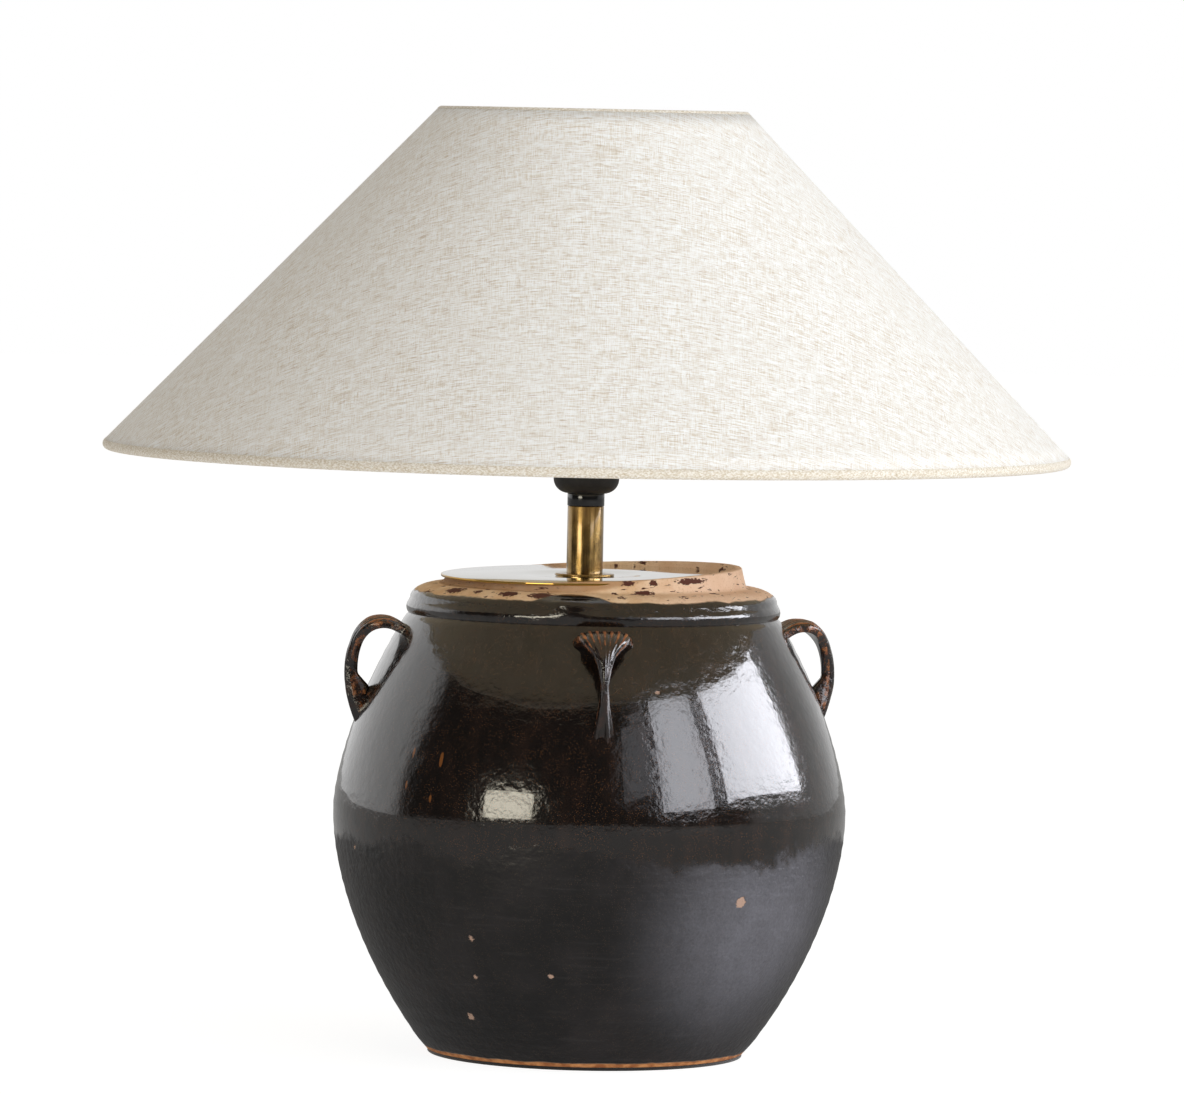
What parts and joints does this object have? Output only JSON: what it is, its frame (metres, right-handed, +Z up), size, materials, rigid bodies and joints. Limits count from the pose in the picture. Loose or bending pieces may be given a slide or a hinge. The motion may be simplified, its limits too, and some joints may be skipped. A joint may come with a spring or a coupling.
{
  "type": "ceramic table lamp",
  "caption": "Table lamp on an old brown-glazed storage jar with strap lugs, a short brass stem and a wide cone-shaped natural linen shade.",
  "frame": {"origin": "centre of the jar's foot, on the table under the felt", "axes": "+Z up along the jar's axis, -Y towards the picture's viewer, +X to the viewer's right; the cable leaves at the back, +Y"},
  "size_m": [0.5969, 0.597, 0.5845],
  "materials": {
    "jar_glaze": "glossy dark iron glaze over buff stoneware, bare at the mouth",
    "felt": "pressed felt",
    "black_plastic": "satin black",
    "polished_brass": "polished and lacquered",
    "antique_brass": "antiqued",
    "black_gloss": "glossy black",
    "brass_hardware": "plain",
    "steel": "zinc plated",
    "rubber": "matt",
    "black_matt": "matt black thermoset",
    "steatite": "unglazed white",
    "contact_brass": "bright",
    "cap_metal": "bright",
    "cap_insulator": "black glassy insulator",
    "clear_glass": "clear",
    "filament": "yellow coated",
    "white_wire": "white powder coated",
    "liner": "white, translucent",
    "linen": "natural slubby linen",
    "linen_tape": "natural linen tape"
  },
  "bodies": {
    "base": {"jar": "jar_glaze", "lug_right": "jar_glaze", "lug_back": "jar_glaze", "lug_left": "jar_glaze", "lug_front": "jar_glaze", "base_felt": "felt", "cable_bush": "black_plastic", "cover_plate": "polished_brass", "foot_ring": "antique_brass", "stem_tube": "antique_brass", "stem_collar": "black_gloss", "threaded_rod": "brass_hardware", "clamp_bar": "steel", "bar_pads": "rubber", "clamp_washer": "steel", "rod_nuts": "brass_hardware", "holder_cap": "black_matt", "holder_skirt": "black_matt", "holder_core": "steatite", "screw_shell": "contact_brass", "centre_contact": "contact_brass", "terminals": "contact_brass", "terminal_screws": "steel"},
    "clamp_lower": {"clamp_ring_lower": "black_matt"},
    "clamp_upper": {"clamp_ring_upper": "black_matt"},
    "shade": {"shade_top_frame": "white_wire", "shade_bottom_ring": "white_wire", "shade_liner": "liner", "shade_cover": "linen", "shade_top_hem": "linen_tape", "shade_bottom_hem": "linen_tape"},
    "bulb": {"bulb_cap": "cap_metal", "bulb_insulator": "cap_insulator", "bulb_contact": "cap_metal", "bulb_glass": "clear_glass", "bulb_mount": "clear_glass", "bulb_filaments": "filament"}
  },
  "joints": [
    {"name": "shade_swivel", "type": "hinge", "parent": "base", "child": "shade", "pos_m": [-0.006, -0.004, 0], "axis": [0, 0, 1], "continuous": true},
    {"name": "clamp_lower_turn", "type": "hinge", "parent": "base", "child": "clamp_lower", "pos_m": [-0.006, -0.004, 0], "axis": [0, 0, 1], "range_deg": [-990, 0]},
    {"name": "clamp_upper_turn", "type": "hinge", "parent": "base", "child": "clamp_upper", "pos_m": [-0.006, -0.004, 0], "axis": [0, 0, 1], "range_deg": [0, 2340]},
    {"name": "bulb_turn", "type": "hinge", "parent": "base", "child": "bulb", "pos_m": [-0.006, -0.004, 0], "axis": [0, 0, 1], "range_deg": [0, 1800]}
  ]
}
